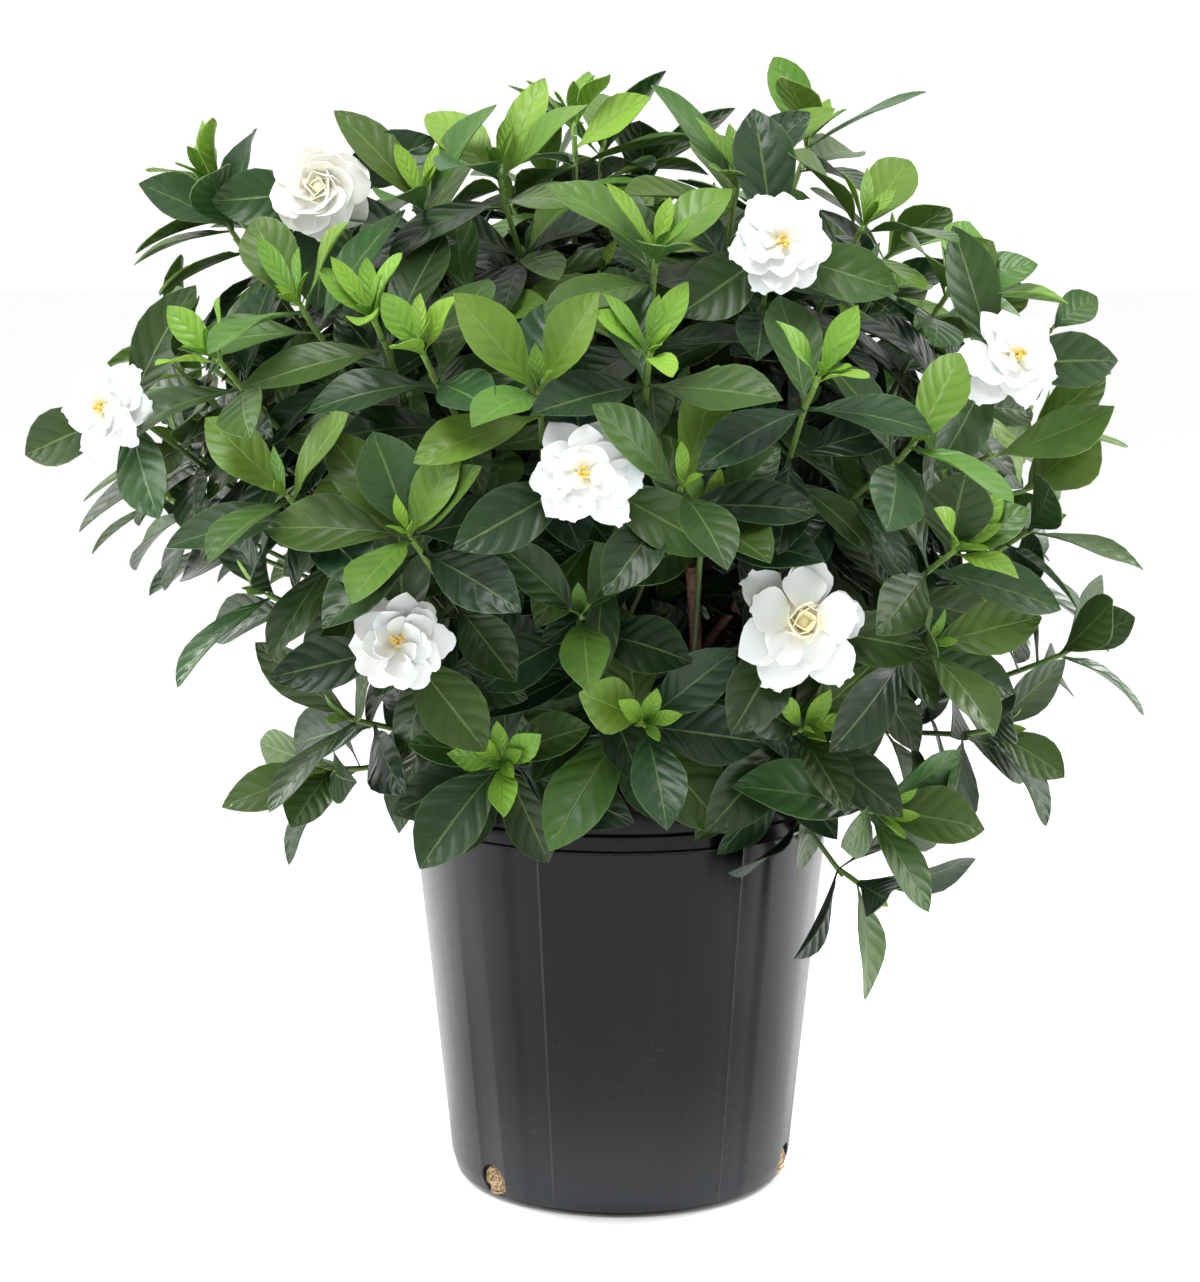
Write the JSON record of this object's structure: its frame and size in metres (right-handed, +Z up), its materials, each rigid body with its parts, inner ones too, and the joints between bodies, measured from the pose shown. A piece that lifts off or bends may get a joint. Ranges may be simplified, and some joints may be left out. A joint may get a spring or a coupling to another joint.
{
  "type": "potted gardenia",
  "caption": "Rounded gardenia shrub with glossy leaves, pale new shoots and double white blooms, growing in a fluted black nursery pot",
  "frame": {"origin": "centre of the pot's flat underside", "axes": "+Z up along the pot's axis, -Y towards the side the picture shows, +X to the right seen from there"},
  "size_m": [0.6267, 0.5609, 0.647],
  "materials": {
    "pot_plastic": "satin black blow-moulded nursery pot plastic",
    "potting_mix": "dark fibrous bark and peat potting mix",
    "bark": "dull brown bark with paler scars",
    "leaf": "glossy leathery dark green leaf, paler beneath",
    "young_leaf": "shiny lime green new growth",
    "petal": "waxy white petal",
    "stamen": "mustard yellow stamens and stigma"
  },
  "bodies": {
    "root": {"pot": "pot_plastic", "potting_mix": "potting_mix", "woody_stems": "bark", "leafy_spray_01": "leaf", "leafy_spray_02": "leaf", "leafy_spray_03": "leaf", "leafy_spray_04": "leaf", "leafy_spray_05": "leaf", "leafy_spray_06": "leaf", "leafy_spray_07": "leaf", "leafy_spray_08": "leaf", "leafy_spray_09": "leaf", "leafy_spray_10": "leaf", "leafy_spray_11": "leaf", "leafy_spray_12": "leaf", "leafy_spray_13": "leaf", "leafy_spray_14": "leaf", "leafy_spray_15": "leaf", "leafy_spray_16": "leaf", "leafy_spray_17": "leaf", "leafy_spray_18": "leaf", "leafy_spray_19": "leaf", "leafy_spray_20": "leaf", "leafy_spray_21": "leaf", "leafy_spray_22": "leaf", "leafy_spray_23": "leaf", "leafy_spray_24": "leaf", "leafy_spray_25": "leaf", "leafy_spray_26": "leaf", "leafy_spray_27": "leaf", "leafy_spray_28": "leaf", "bloom_petals_01": "petal", "bloom_petals_02": "petal", "bloom_petals_03": "petal", "bloom_petals_04": "petal", "bloom_petals_05": "petal", "bloom_petals_06": "petal", "bloom_petals_07": "petal", "bloom_petals_08": "petal", "bloom_petals_09": "petal", "bloom_petals_10": "petal", "bloom_centre_01": "stamen", "bloom_centre_02": "stamen", "bloom_centre_03": "stamen", "bloom_centre_04": "stamen", "bloom_centre_05": "stamen", "bloom_centre_06": "stamen", "bloom_centre_07": "stamen", "bloom_centre_08": "stamen", "bloom_centre_09": "stamen", "bloom_centre_10": "stamen", "young_tip_01": "young_leaf", "young_tip_02": "young_leaf", "young_tip_03": "young_leaf", "young_tip_04": "young_leaf", "young_tip_05": "young_leaf", "young_tip_06": "young_leaf", "young_tip_07": "young_leaf", "young_tip_08": "young_leaf", "young_tip_09": "young_leaf"}
  },
  "joints": []
}
